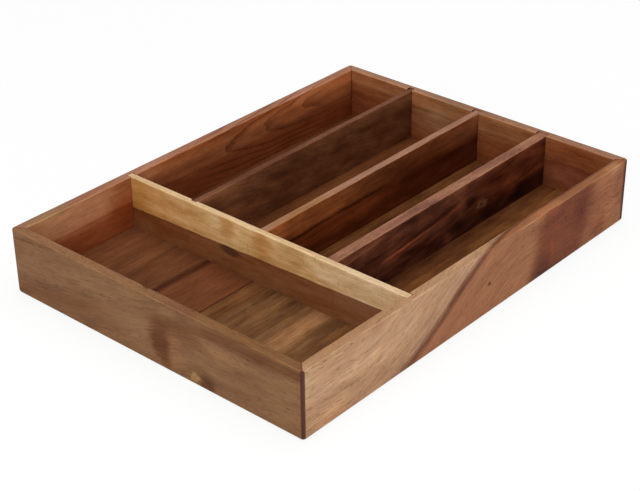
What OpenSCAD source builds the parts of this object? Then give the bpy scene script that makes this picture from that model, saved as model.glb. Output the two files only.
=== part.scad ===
// Wooden knife tray: a mitred frame with one bay across the front and four lanes behind it.
// The origin is on the ground under the middle of the tray.
// X runs across the lanes, Y runs from the front bay to the back wall, Z is up.

/* [Tray] */
// Outside width, across the lanes
tray_w = 260; // [200:1:400]
// Outside length, from the front wall to the back wall
tray_l = 350; // [250:1:500]
// Height of the walls
tray_h = 50; // [30:1:90]

/* [Walls] */
// Thickness of the walls
wall_t = 7.5; // [7:0.5:14]
// Radius of the four upright corners
corner_r = 3; // [1:0.5:6]
// Radius of the eased arrises along the tops of the walls
rim_r = 1; // [0.5:0.25:2]
// Radius of the rounded arris along the bottom of the walls, outside
foot_r = 3; // [1:0.5:4]

/* [Base] */
// Thickness of the base staves
base_t = 6; // [4:0.5:12]
// Height of the base's underside above the ground
base_lift = 4; // [2:0.5:12]
// Depth of the groove in the walls that holds the base
groove_d = 4; // [2:0.5:5]
// Room left between the base's edges and the bottom of the groove, for the wood to swell
swell_gap = 0.5; // [0.2:0.1:1]
// Width of a base stave, all but the two outer ones
stave_w = 41; // [30:0.5:55]
// Distance from the tray's middle to the middle joint of the base
stave_shift = -6; // [-15:0.5:15]

/* [Dividers] */
// Clear length of the front bay
bay_l = 94.5; // [60:0.5:160]
// Thickness of the cross divider
cross_t = 5; // [4:0.5:12]
// Thickness of the left lane divider
left_t = 4.5; // [4:0.5:12]
// Thickness of the middle lane divider
middle_t = 6; // [4:0.5:12]
// Thickness of the right lane divider
right_t = 8.5; // [4:0.5:12]
// Clear width of the left lane
lane_1_w = 57; // [35:0.5:90]
// Clear width of the second lane from the left
lane_2_w = 58; // [35:0.5:90]
// Clear width of the third lane from the left, and the last lane takes what is left
lane_3_w = 52.5; // [35:0.5:90]
// Distance from the walls' tops down to the lane dividers' tops
lane_drop = 0.5; // [0:0.25:10]
// Radius of the eased arrises along the tops of the dividers
divider_r = 0.75; // [0.25:0.25:1.5]

/* [Housings] */
// Depth of the side walls' housings, which hold the cross divider
side_housing = 3.5; // [2:0.5:6]
// Depth of the back wall's housings, which hold the lane dividers
back_housing = 4; // [2:0.5:6]
// Depth of the cross divider's housings, which hold the lane dividers
cross_housing = 2; // [1:0.5:3]
// Distance from the cross divider's top down to the stopped housings, which do not show from above
housing_stop = 6; // [3:0.5:15]
// Clearance round a board in its housing or groove
fit = 0.2; // [0.05:0.05:0.3]

/* [Hidden] */
$fn = 48;

// How far a cut runs past the surface that it opens
over = 1;
stave_count = 6;

// Inside of the frame
inside_w = tray_w - 2 * wall_t;
inside_l = tray_l - 2 * wall_t;

// Base panel, whose edges reach into the grooves
base_top = base_lift + base_t;
panel_w = inside_w + 2 * (groove_d - swell_gap);
panel_l = inside_l + 2 * (groove_d - swell_gap);

// Front and rear faces of the cross divider
cross_front = bay_l - inside_l / 2;
cross_rear = cross_front + cross_t;

// Front and rear ends of the lane dividers' housings
lane_front = cross_rear - cross_housing;
lane_rear = inside_l / 2 + back_housing;

// Left faces of the lane dividers, from left to right
left_x = lane_1_w - inside_w / 2;
middle_x = left_x + left_t + lane_2_w;
right_x = middle_x + middle_t + lane_3_w;

// Thickness, middle and kind of front housing of the lane dividers, from left to right
lane_ts = [left_t, middle_t, right_t];
lane_xs = [left_x + left_t / 2, middle_x + middle_t / 2, right_x + right_t / 2];
lane_stopped = [false, true, true];

// Left edge of a base stave, counted from 1 at the left, with the panel's right edge as the last
function stave_edge(i) =
    i == 1 ? -panel_w / 2 :
    i > stave_count ? panel_w / 2 :
    stave_shift + (i - 1 - stave_count / 2) * stave_w;

wall_brown = "#93643f";
side_brown = "#a9774f";
sapwood_pale = "#cfa06c";
lane_brown = "#6f472f";
stave_browns = ["#7d4e32", "#8a5a38"];

// Waste outside an arris of radius r, on a board that fills the first quadrant
module arris_waste(r) {
    difference() {
        translate([-over, -over]) square(r + over);
        translate([r, r]) circle(r);
    }
}

// Section of a wall: x runs inwards from the outer face, y runs up from the ground
module wall_section() {
    difference() {
        square([wall_t, tray_h]);
        arris_waste(foot_r);
        translate([0, tray_h]) mirror([0, 1]) arris_waste(rim_r);
        translate([wall_t, tray_h]) rotate(180) arris_waste(rim_r);
        translate([wall_t - groove_d, base_lift]) square([groove_d + over, base_t + fit]);
    }
}

// Section of the rounded corner, from its upright axis out to the outer face
module corner_section() {
    intersection() {
        translate([corner_r, 0]) mirror([1, 0]) wall_section();
        square([corner_r, tray_h]);
    }
}

// Half of a wall to the right of its middle, up to the mitre and half of the rounded corner
module half_wall(length) {
    straight = length / 2 - corner_r;
    difference() {
        rotate([90, 0, 90]) linear_extrude(straight) wall_section();
        translate([length / 2, 0, -over])
            linear_extrude(tray_h + 2 * over)
                polygon([[0, 0], [0, wall_t + over], [-wall_t - over, wall_t + over]]);
    }
    translate([straight, corner_r, 0]) rotate(-90) rotate_extrude(angle = 45) corner_section();
}

// Wall of the frame with its outer face on y = 0 and its inner face towards +Y
module wall(length) {
    half_wall(length);
    mirror([1, 0, 0]) half_wall(length);
}

// Space that the cross divider fills in the side walls, open at the top
module cross_housings() {
    translate([-inside_w / 2 - side_housing, cross_front - fit, base_top])
        cube([inside_w + 2 * side_housing, cross_t + 2 * fit, tray_h]);
}

// Upright slot for a lane divider, from one place along Y to another and from the base up to a height
module lane_slot(i, front, rear, top) {
    width = lane_ts[i - 1] + 2 * fit;
    translate([lane_xs[i - 1] - width / 2, front, base_top])
        cube([width, rear - front, top - base_top]);
}

// Space that the lane dividers fill in the back wall, open at the top
module rear_housings() {
    for (i = [1 : len(lane_ts)])
        lane_slot(i, cross_rear, lane_rear, tray_h + over);
}

// Space that the lane dividers fill in the cross divider, open at the top or stopped below it
module front_housings() {
    for (i = [1 : len(lane_ts)])
        lane_slot(i, lane_front, lane_rear, lane_stopped[i - 1] ? tray_h - housing_stop : tray_h + over);
}

// Divider board standing on the base, with its section in XZ, its middle on x = 0 and its length along +Y
module divider(thickness, length, top) {
    height = top - base_top;
    translate([0, length, base_top])
        rotate([90, 0, 0])
            linear_extrude(length)
                difference() {
                    translate([-thickness / 2, 0]) square([thickness, height]);
                    translate([-thickness / 2, height]) mirror([0, 1]) arris_waste(divider_r);
                    translate([thickness / 2, height]) rotate(180) arris_waste(divider_r);
                }
}

module front_wall() {
    color(wall_brown) translate([0, -tray_l / 2, 0]) wall(tray_w);
}

module back_wall() {
    color(wall_brown)
        difference() {
            translate([0, tray_l / 2, 0]) rotate(180) wall(tray_w);
            rear_housings();
        }
}

module left_wall() {
    color(side_brown)
        difference() {
            translate([-tray_w / 2, 0, 0]) rotate(-90) wall(tray_l);
            cross_housings();
        }
}

module right_wall() {
    color(side_brown)
        difference() {
            translate([tray_w / 2, 0, 0]) rotate(90) wall(tray_l);
            cross_housings();
        }
}

module cross_divider() {
    length = inside_w + 2 * (side_housing - fit);
    color(sapwood_pale)
        difference() {
            translate([length / 2, (cross_front + cross_rear) / 2, 0])
                rotate(90)
                    divider(cross_t, length, tray_h);
            front_housings();
        }
}

// Waste above the tongue of a lane divider whose front housing is stopped
module tongue_waste(i) {
    width = lane_ts[i - 1] + 2 * over;
    translate([lane_xs[i - 1] - width / 2, lane_front - over, tray_h - housing_stop - fit])
        cube([width, cross_housing + over, housing_stop + over]);
}

// Lane divider, counted from 1 at the left
module lane_divider(i) {
    length = lane_rear - lane_front - 2 * fit;
    color(lane_brown)
        difference() {
            translate([lane_xs[i - 1], lane_front + fit, 0])
                divider(lane_ts[i - 1], length, tray_h - lane_drop);
            if (lane_stopped[i - 1]) tongue_waste(i);
        }
}

module left_lane_divider() {
    lane_divider(1);
}

module middle_lane_divider() {
    lane_divider(2);
}

module right_lane_divider() {
    lane_divider(3);
}

// Base stave, counted from 1 at the left
module base_stave(i) {
    color(stave_browns[i % len(stave_browns)])
        translate([stave_edge(i), -panel_l / 2, base_lift])
            cube([stave_edge(i + 1) - stave_edge(i), panel_l, base_t]);
}

front_wall();
back_wall();
left_wall();
right_wall();
cross_divider();
left_lane_divider();
middle_lane_divider();
right_lane_divider();
base_stave(1);  // base_stave_1
base_stave(2);  // base_stave_2
base_stave(3);  // base_stave_3
base_stave(4);  // base_stave_4
base_stave(5);  // base_stave_5
base_stave(6);  // base_stave_6
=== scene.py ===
"""Knife tray of oiled acacia: a mitred frame, a cross divider, three lane dividers and a base of staves.

Sizes in the classes are in millimetres. Meshes are in metres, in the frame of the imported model:
X across the lanes, Y from the front bay to the back wall, Z up.
"""

import logging
import math
from dataclasses import dataclass, field
from enum import Enum
from typing import ClassVar, Optional, Union

import bmesh
import bpy
from mathutils import Matrix, Vector, noise


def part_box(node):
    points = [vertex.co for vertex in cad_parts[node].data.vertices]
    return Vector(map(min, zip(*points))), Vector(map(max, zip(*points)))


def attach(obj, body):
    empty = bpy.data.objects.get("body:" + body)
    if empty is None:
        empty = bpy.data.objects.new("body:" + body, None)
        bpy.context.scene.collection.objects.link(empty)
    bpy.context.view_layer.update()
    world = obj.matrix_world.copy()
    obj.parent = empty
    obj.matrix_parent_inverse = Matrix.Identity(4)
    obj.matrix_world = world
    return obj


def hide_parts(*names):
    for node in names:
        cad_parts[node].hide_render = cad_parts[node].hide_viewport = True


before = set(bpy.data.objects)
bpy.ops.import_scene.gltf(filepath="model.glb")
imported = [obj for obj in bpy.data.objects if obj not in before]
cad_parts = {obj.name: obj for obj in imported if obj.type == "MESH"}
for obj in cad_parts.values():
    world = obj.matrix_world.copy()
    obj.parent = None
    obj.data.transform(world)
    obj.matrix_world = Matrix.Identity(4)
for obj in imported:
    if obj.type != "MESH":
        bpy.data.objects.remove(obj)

LOG = logging.getLogger("knife_tray")
MM = 0.001
BODY = "root"
PHOTO_WIDTH = 640
WELD_GAP = 1e-6
SHARP_ANGLE = math.radians(32)

Rgb = tuple[float, float, float]
Point = tuple[float, float]
Place = tuple[float, float, float]
Number = Union["Field", float]
Value = Union["Field", float, Place]
Box = tuple[Vector, Vector]


def paint(red: int, green: int, blue: int) -> Rgb:
    """Turn a display colour into the linear values that shaders take, by the sRGB curve.

    Args:
        red: Red, from 0 to 255.
        green: Green, from 0 to 255.
        blue: Blue, from 0 to 255.

    Returns:
        The colour's linear red, green and blue.
    """
    shares = (channel / 255 for channel in (red, green, blue))
    return tuple(s / 12.92 if s <= 0.04045 else ((s + 0.055) / 1.055) ** 2.4 for s in shares)


class Grain(Enum):
    """Axes along a board's fibres, across its wide face and through its thickness."""

    ALONG_X_UPRIGHT = ("X", "Z", "Y")
    ALONG_Y_UPRIGHT = ("Y", "Z", "X")
    ALONG_Y_FLAT = ("Y", "X", "Z")


class Side(Enum):
    """Sides of the frame, by the quarter turns that bring a wall there from the front."""

    FRONT = 0
    RIGHT = 1
    BACK = 2
    LEFT = 3

    @property
    def runs_x(self) -> bool:
        """Whether a wall on this side runs along X."""
        return self in (Side.FRONT, Side.BACK)


class Facing(Enum):
    """Wide faces that a patch shows on: both, or the one that looks along the axis or against it."""

    BOTH = 0
    ALONG = 1
    AGAINST = -1


class Blend(Enum):
    """Ways to lay one colour over another."""

    MIX = "MIX"
    MULTIPLY = "MULTIPLY"
    SCREEN = "SCREEN"


class Slot(Enum):
    """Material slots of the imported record."""

    WALL = "wall_wood"
    SAPWOOD = "sapwood"
    DIVIDER = "divider_wood"
    BASE = "base_wood"


@dataclass(frozen=True)
class Palette:
    """Tones of one board, from its palest wood to its darkest streaks."""

    pale: Rgb
    mid: Rgb
    dark: Rgb
    deep: Rgb

    @classmethod
    def of(cls, *tones: tuple[int, int, int]) -> "Palette":
        """Palette of four display colours."""
        return cls(*(paint(*tone) for tone in tones))


@dataclass(frozen=True)
class TintPatch:
    """Soft patch of darker or lighter colour, an ellipse on the wide faces or on one of them. Most are
    stains in the wood; some are painted shade or painted light.

    Lean turns it, in degrees. Ragged and soft are the unevenness and the softness of its edge, as shares of
    its reach, and wraps is its share on the long edges.
    """

    ABOVE_TOP: ClassVar[float] = 62.0

    at: Point
    reach: Point
    tint: Rgb
    lean: float = 0.0
    ragged: float = 0.5
    soft: float = 0.6
    wraps: float = 1.0
    side: Facing = Facing.BOTH

    @classmethod
    def on_face(
        cls, at: Point, reach: Point, tint: Rgb, soft: float = 0.6, side: Facing = Facing.BOTH
    ) -> "TintPatch":
        """Patch with a calm edge that keeps off the long edges."""
        return cls(at, reach, tint, ragged=0.3, soft=soft, wraps=0.0, side=side)

    @classmethod
    def on_top(
        cls, along: float, reach: float, tint: Rgb, down: float = 16.0, ragged: float = 0.3
    ) -> "TintPatch":
        """Patch of a board's top: the lower part of an ellipse whose middle lies above the board."""
        return cls((along, cls.ABOVE_TOP), (reach, down), tint, ragged=ragged, soft=0.3)


@dataclass(frozen=True)
class Boundary:
    """Height, as the grain runs, where the wood changes tone, with a dark line along it.

    Soft is how far the change reaches up and down, and ragged is how far fibres run past it.
    """

    level: float
    below: Rgb
    soft: float
    line: Rgb = (1.0, 1.0, 1.0)
    line_width: float = 1.0
    ragged: float = 0.4


@dataclass(frozen=True)
class Vein:
    """Darker or lighter band that follows the grain at one height, between two places along the board.

    Fade is how softly it starts and ends, and ragged is how far fibres run past its edges.
    """

    level: float
    width: float
    tint: Rgb
    start: float = -400.0
    end: float = 400.0
    fade: float = 15.0
    ragged: float = 0.4


@dataclass(frozen=True)
class Swerve:
    """Place along a board where its grain climbs, as it does on the flank of a knot."""

    at: float
    width: float
    rise: float


@dataclass(frozen=True)
class Knot:
    """Knot that shows on a board's wide face, with the grain arching over it.

    Oval is its length over its height, and ragged is the unevenness of its edge, as a share of its radius.
    """

    at: Point
    radius: float
    core: Rgb
    rim: Rgb
    arch: float = 0.0
    oval: float = 1.4
    ragged: float = 2.6


@dataclass(frozen=True)
class WoodFinish:
    """How one board of oiled acacia looks: its tones, its figure and its surface.

    The pith is the middle of the log, across and through the board, and tilt is how it strays along it.
    Slope leans the grain along the board, and skew leans it through a wall. Oval flattens the growth
    rings, and ringed says where along the board their lines show. Wave is how far the fibres wander.
    The other plain numbers are strengths.
    """

    palette: Palette
    seed: float
    pith: Point = (-60.0, 40.0)
    tilt: Point = (0.0, 0.02)
    oval: float = 1.0
    slope: float = 0.0
    skew: float = 0.0
    ring_pitch: float = 5.0
    rings: float = 0.3
    ring_lines: float = 0.2
    ringed: Point = (-400.0, 400.0)
    streaks: float = 0.3
    drift: float = 0.35
    mottle: float = 0.3
    wave: float = 2.5
    fibre: float = 0.3
    pores: float = 0.5
    flecks: float = 0.0
    # Tint of the long edges, the tops of upright boards: partly their own tone, partly painted sheen, a
    # pale veil of reflected white
    edge_tint_and_sheen: Rgb = (1.0, 1.0, 1.0)
    end_grain: Rgb = paint(76, 45, 38)
    # Strength of the pale on the arrises: partly wear, partly a painted highlight along the rounded arris
    wear_and_highlight: float = 0.25
    roughness: float = 0.52
    boundaries: tuple[Boundary, ...] = ()
    veins: tuple[Vein, ...] = ()
    tint_patches: tuple[TintPatch, ...] = ()
    swerves: tuple[Swerve, ...] = ()
    knots: tuple[Knot, ...] = ()


class Field:
    """Value that varies over a surface: a node's output that can be used in sums."""

    def __init__(self, sheet: "ShaderSheet", socket: bpy.types.NodeSocket) -> None:
        """Keep the sheet that the node is on, and the node's output socket."""
        self.sheet = sheet
        self.socket = socket

    def __add__(self, other: Number) -> "Field":
        """Add a field or a number."""
        return self.sheet.math("ADD", self, other)

    def __sub__(self, other: Number) -> "Field":
        """Take away a field or a number."""
        return self.sheet.math("SUBTRACT", self, other)

    def __mul__(self, other: Number) -> "Field":
        """Multiply by a field or a number."""
        return self.sheet.math("MULTIPLY", self, other)

    def __truediv__(self, other: Number) -> "Field":
        """Divide by a field or a number."""
        return self.sheet.math("DIVIDE", self, other)

    def __abs__(self) -> "Field":
        """Drop the sign."""
        return self.sheet.math("ABSOLUTE", self)


class NodeSheet:
    """Node tree that nodes are added to."""

    tree: bpy.types.NodeTree

    def node(self, kind: str, **settings: object) -> bpy.types.Node:
        """Add a node.

        Args:
            kind: The node's type name.
            settings: Values for the node's own properties.

        Returns:
            The new node.
        """
        made = self.tree.nodes.new(kind)
        for name, value in settings.items():
            setattr(made, name, value)
        return made


class ShaderSheet(NodeSheet):
    """Node tree of one material, with short calls that add nodes and wire them up."""

    # Sockets of a Mix node for colours, by number because its other sockets have the same names
    MIX_SHARE, MIX_UNDER, MIX_OVER, MIX_RESULT = 0, 6, 7, 2
    SEED_STEPS = (1.7, 2.3, 3.1)

    def __init__(self, name: str) -> None:
        """Make an empty material.

        Args:
            name: Name of the material.
        """
        self.material = bpy.data.materials.new(name)
        self.material.use_nodes = True
        self.tree = self.material.node_tree
        self.tree.nodes.clear()

    def feed(self, socket: bpy.types.NodeSocket, value: Value) -> None:
        """Link a field to an input, or set the input's own value.

        Args:
            socket: The input.
            value: What it gets.
        """
        if isinstance(value, Field):
            self.tree.links.new(value.socket, socket)
        elif socket.type == "RGBA":
            socket.default_value = (*value, 1.0)
        else:
            socket.default_value = value

    def result(self, node: bpy.types.Node, *values: Value, **named: Value) -> Field:
        """Feed a node's inputs.

        Args:
            node: The node.
            values: What its first inputs get, in their order.
            named: What other inputs get, by name.

        Returns:
            The node's first output.
        """
        for socket, value in zip(node.inputs, values):
            self.feed(socket, value)
        for name, value in named.items():
            self.feed(node.inputs[name], value)
        return Field(self, node.outputs[0])

    def math(self, operation: str, first: Number, second: Number = 0.0) -> Field:
        """Result of a Math node."""
        return self.result(self.node("ShaderNodeMath", operation=operation), first, second)

    def step(self, value: Field, start: float, end: float) -> Field:
        """Go smoothly from 0 to 1 between two values, of which the first may be the higher.

        Args:
            value: The field that is looked at.
            start: Its value where the result is 0.
            end: Its value where the result is 1.

        Returns:
            The result, from 0 to 1.
        """
        made = self.node("ShaderNodeMapRange", interpolation_type="SMOOTHSTEP")
        (low, at_low), (high, at_high) = sorted(((start, 0.0), (end, 1.0)))
        return self.result(made, value, low, high, at_low, at_high)

    def vector(self, x: Number, y: Number, z: Number) -> Field:
        """Join three values into a vector."""
        return self.result(self.node("ShaderNodeCombineXYZ"), x, y, z)

    def parts(self, vector: Field) -> dict[str, Field]:
        """Split a vector.

        Args:
            vector: The vector.

        Returns:
            Its X, Y and Z, by letter.
        """
        made = self.node("ShaderNodeSeparateXYZ")
        self.feed(made.inputs[0], vector)
        return {axis: Field(self, made.outputs[axis]) for axis in "XYZ"}

    def stretched(self, vector: Field, lengths: Place, seed: float) -> Field:
        """Scale a vector so that a pattern's cells get certain lengths, and shift it by a seed.

        Args:
            vector: The vector.
            lengths: The cells' lengths.
            seed: The seed.

        Returns:
            The vector to sample the pattern with.
        """
        made = self.node("ShaderNodeVectorMath", operation="MULTIPLY_ADD")
        scales = tuple(1 / length for length in lengths)
        return self.result(made, vector, scales, tuple(seed * step for step in self.SEED_STEPS))

    def noise(self, vector: Field, detail: float, roughness: float) -> Field:
        """Soft noise from 0 to 1 with a cell of about one unit."""
        made = self.node("ShaderNodeTexNoise", noise_dimensions="3D")
        return self.result(made, Vector=vector, Scale=1.0, Detail=detail, Roughness=roughness)

    def bands(self, value: Field, detail: float, roughness: float) -> Field:
        """Noise along one value, for bands of uneven width."""
        made = self.node("ShaderNodeTexNoise", noise_dimensions="1D")
        return self.result(made, W=value, Scale=1.0, Detail=detail, Roughness=roughness)

    def cells(self, vector: Field) -> Field:
        """Distance to the nearest of scattered points, about one unit apart."""
        return self.result(self.node("ShaderNodeTexVoronoi", feature="F1"), Vector=vector, Scale=1.0)

    def ramp(self, value: Field, places: tuple[float, ...], colours: tuple[Rgb, ...]) -> Field:
        """Run through colours as a value goes from 0 to 1.

        Args:
            value: The value.
            places: Values at which the colours are reached.
            colours: The colours.

        Returns:
            The colour at the value.
        """
        made = self.node("ShaderNodeValToRGB")
        elements = made.color_ramp.elements
        while len(elements) < len(places):
            elements.new(0.5)
        for element, place, colour in zip(elements, places, colours):
            element.position = place
            element.color = (*colour, 1.0)
        return self.result(made, value)

    def blend(self, share: Number, under: Field, over: Union[Field, Rgb], mode: Blend) -> Field:
        """Lay one colour over another.

        Args:
            share: How much of the upper colour shows.
            under: The colour below.
            over: The colour above.
            mode: The way the two are mixed.

        Returns:
            The mixed colour.
        """
        made = self.node("ShaderNodeMix", data_type="RGBA", blend_type=mode.value)
        self.feed(made.inputs[self.MIX_SHARE], share)
        self.feed(made.inputs[self.MIX_UNDER], under)
        self.feed(made.inputs[self.MIX_OVER], over)
        return Field(self, made.outputs[self.MIX_RESULT])


@dataclass(frozen=True)
class Pattern:
    """Noise in the wood: its cells' lengths along, across and through the board, and its own seed."""

    lengths: Place
    seed: float = 0.0
    detail: float = 2.0
    roughness: float = 0.5


class WoodShader:
    """Solid-wood material of one board, cut from a log whose pith lies beside the board."""

    # Patterns that follow the grain
    STREAKS = Pattern((190.0, 6.0, 6.0), detail=3.0, roughness=0.55)
    DRIFT = Pattern((85.0, 26.0, 26.0), 5.0)
    CLOUDS = Pattern((24.0, 9.0, 9.0), 7.0, detail=3.0, roughness=0.55)
    FIBRES = Pattern((16.0, 0.55, 0.55), 6.0, detail=3.0, roughness=0.6)
    PORES = Pattern((8.0, 0.9, 0.9), 4.0)
    BAND_EDGES = Pattern((26.0, 2.2, 5.0), detail=3.0, roughness=0.6)

    # Patterns that follow the board's faces
    WAVES = Pattern((95.0, 24.0, 24.0), 1.0)
    RIPPLES = Pattern((26.0, 7.0, 7.0), 2.0)
    DEPTH_WAVES = Pattern((95.0, 24.0, 24.0), 3.0)
    TINT_PATCH_EDGES = Pattern((14.0, 5.0, 9.0))
    LINE_STRENGTH = Pattern((45.0, 30.0, 30.0))
    VEIN_STRENGTH = Pattern((30.0, 16.0, 16.0))
    KNOT_EDGES = Pattern((4.5, 2.6, 6.0))
    FLECKS = Pattern((0.9, 7.0, 7.0), 8.0, detail=1.0)
    FLECK_PATCHES = Pattern((24.0, 14.0, 14.0), 9.0)
    # Patches of pale on the arrises: wear with a painted highlight
    WEAR_AND_HIGHLIGHT_PATCHES = Pattern((18.0, 6.0, 6.0), 12.0)
    GLUE_STRENGTH = Pattern((6.0, 9.0, 6.0), 14.0)

    # How far a surface faces along, across or through the board, where a look starts and where it is full
    EDGE_FACING = (0.55, 0.85)
    ARRIS_FACING = (0.1, 0.4)
    END_FACING = (0.16, 0.42)
    SIDE_FACING = (-0.2, 0.2)

    # Figure of clear wood, whose tone runs from 0 for pale to 1 for deep
    TONE_PLACES = (0.0, 0.42, 0.78, 1.0)
    MIDDLE_TONE = 0.45
    EDGE_CALM = 0.7
    RING_DETAIL = 2.0
    RING_ROUGHNESS = 0.55
    LATE_WOOD = (0.55, 0.98)
    RING_DRIFT = 1.5
    RING_CLOUD = 0.7
    RING_FADE = 25.0
    RIPPLE_SHARE = 0.6

    # Bands: how ragged they get, the share of their width that is full, and their strength
    BAND_RAGGED = 4.0
    LINE_CORE = 0.15
    LINE_CHANGE = 0.9
    LINE_MEAN = 0.85
    VEIN_CORE = 0.2
    VEIN_CHANGE = 1.2
    VEIN_MEAN = 0.8

    # Knots, in shares of their radius
    KNOT_FLANK = 6.0
    KNOT_CROWN = 8.0
    KNOT_SPREAD = 1.6
    KNOT_PLACES = (0.0, 0.16, 0.5, 0.8)
    KNOT_FADE = (1.0, 0.45)

    # Flecks, pores and fibres
    FLECK_AREA = (0.0, 0.18)
    FLECK_RUN = (0.55, 0.7)
    FLECK_TINT = (0.72, 0.78, 0.62)
    PORE_RUN = (0.3, 0.14)
    PORE_RINGS = (0.25, 0.65)
    PORE_LEAST = 0.25
    FIBRE_PLACES = (0.2, 0.8)

    # Arrises, end grain and the glue line of the mitres
    # Share of the arrises that turns pale, of wear and painted highlight
    WEAR_AND_HIGHLIGHT_AREA = (-0.25, 0.2)
    END_SHARE = 0.95
    GLUE_RUN = (0.95, 0.25)
    GLUE_CHANGE = 1.6
    GLUE_MEAN = 0.7
    GLUE_TINT = (0.4, 0.27, 0.23)

    # Gloss and relief
    SHEEN = 0.08
    PORE_DULLS = 0.2
    FIBRE_DULLS = 0.16
    RELIEF_STRENGTH = 0.5
    RELIEF_DEPTH = 0.25 * MM
    FIBRE_RELIEF = 0.4
    RING_RELIEF = 0.3
    PORE_RELIEF = 0.8

    def __init__(self, name: str, grain: Grain, finish: WoodFinish, mitre: Optional[Point] = None) -> None:
        """Start the material and read the board's coordinates.

        Args:
            name: Name of the material.
            grain: Way the board's grain runs.
            finish: Looks of the board.
            mitre: Half the frame's size along and through the board, where its ends are mitred.
        """
        self.finish = finish
        self.mitre = mitre
        self.sheet = ShaderSheet(name)
        self.axes = grain.value
        self.read_surface()
        self.bend_grain()

    def read_surface(self) -> None:
        """Read where a point lies along, across and through the board, and which way it faces."""
        sheet = self.sheet
        spot = Field(sheet, sheet.node("ShaderNodeTexCoord").outputs["Object"])
        scale = sheet.node("ShaderNodeVectorMath", operation="SCALE")
        place = sheet.parts(sheet.result(scale, spot, Scale=1 / MM))
        facing = sheet.parts(Field(sheet, sheet.node("ShaderNodeNewGeometry").outputs["Normal"]))
        self.along, self.across, self.through = (place[axis] for axis in self.axes)
        self.faces_along, self.faces_across, self.faces_through = (abs(facing[axis]) for axis in self.axes)
        self.looks_through = facing[self.axes[2]]
        self.raw = sheet.vector(self.along, self.across, self.through)
        self.on_edge = sheet.step(self.faces_across, *self.EDGE_FACING)

    def noise(self, place: Field, pattern: Pattern, seed: float) -> Field:
        """Noise of a pattern, from 0 to 1, with a seed beside the pattern's own."""
        spread = self.sheet.stretched(place, pattern.lengths, seed + pattern.seed)
        return self.sheet.noise(spread, pattern.detail, pattern.roughness)

    def grown(self, pattern: Pattern) -> Field:
        """Noise that follows the grain, from about -0.5 to 0.5."""
        return self.noise(self.flow, pattern, self.finish.seed) - 0.5

    def wander(self, pattern: Pattern, seed: float = 0.0) -> Field:
        """Noise that follows the board's faces, from about -0.5 to 0.5."""
        return self.noise(self.raw, pattern, self.finish.seed + seed) - 0.5

    def bend_grain(self) -> None:
        """Let the fibres slope and wander, climb at each swerve and arch over each knot."""
        finish, sheet = self.finish, self.sheet
        across = self.across - self.along * finish.slope
        if self.mitre:
            across = across - (abs(self.through) - self.mitre[1]) * finish.skew
        across = across + self.wander(self.WAVES) * (2 * finish.wave)
        across = across + self.wander(self.RIPPLES) * (self.RIPPLE_SHARE * finish.wave)
        for swerve in finish.swerves:
            climb = sheet.step(self.along, swerve.at - swerve.width / 2, swerve.at + swerve.width / 2)
            across = across - climb * swerve.rise
        for knot in finish.knots:
            beside = sheet.step(abs(self.along - knot.at[0]), self.KNOT_FLANK * knot.radius, 0.0)
            above = sheet.step(abs(self.across - knot.at[1]), self.KNOT_CROWN * knot.radius, 0.0)
            across = across - beside * above * knot.arch
        self.flow_across = across
        self.flow_through = self.through + self.wander(self.DEPTH_WAVES) * finish.wave
        self.flow = sheet.vector(self.along, self.flow_across, self.flow_through)

    def stretch(self, start: float, end: float, fade: float) -> Field:
        """One between two places along the board, and nought beyond them."""
        begun = self.sheet.step(self.along, start - fade, start + fade)
        return begun * self.sheet.step(self.along, end + fade, end - fade)

    def lay(self, share: Number, over: Union[Field, Rgb], mode: Blend = Blend.MULTIPLY) -> None:
        """Lay a tint over the colour so far."""
        self.colour = self.sheet.blend(share, self.colour, over, mode)

    def ring_count(self) -> Field:
        """Count the growth rings between the log's pith and this place.

        Returns:
            Their number, with the finish's seed added.
        """
        finish = self.finish
        rise = (self.flow_across - finish.pith[0] + self.along * finish.tilt[0]) * finish.oval
        depth = self.flow_through - finish.pith[1] + self.along * finish.tilt[1]
        distance = self.sheet.math("SQRT", rise * rise + depth * depth)
        return distance / finish.ring_pitch + finish.seed

    def add_figure(self) -> None:
        """Start with clear wood: growth rings, long streaks, clouds and slow changes of tone."""
        finish, sheet, palette = self.finish, self.sheet, self.finish.palette
        ring = self.ring_count()
        self.ring_tone = sheet.bands(ring, self.RING_DETAIL, self.RING_ROUGHNESS)
        streak, drift, cloud = (self.grown(p) for p in (self.STREAKS, self.DRIFT, self.CLOUDS))
        calm = self.on_edge * -self.EDGE_CALM + 1.0
        tone = (self.ring_tone - 0.5) * (2 * finish.rings) + streak * (2 * finish.streaks)
        tone = tone + drift * (2 * finish.drift) + cloud * calm * (2 * finish.mottle) + self.MIDDLE_TONE
        tones = (palette.pale, palette.mid, palette.dark, palette.deep)
        self.colour = sheet.ramp(tone, self.TONE_PLACES, tones)
        growth = sheet.math("FRACT", ring + drift * self.RING_DRIFT + cloud * self.RING_CLOUD)
        late = sheet.step(growth, *self.LATE_WOOD)
        self.lay(late * self.stretch(*finish.ringed, self.RING_FADE) * finish.ring_lines, palette.deep)

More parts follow.
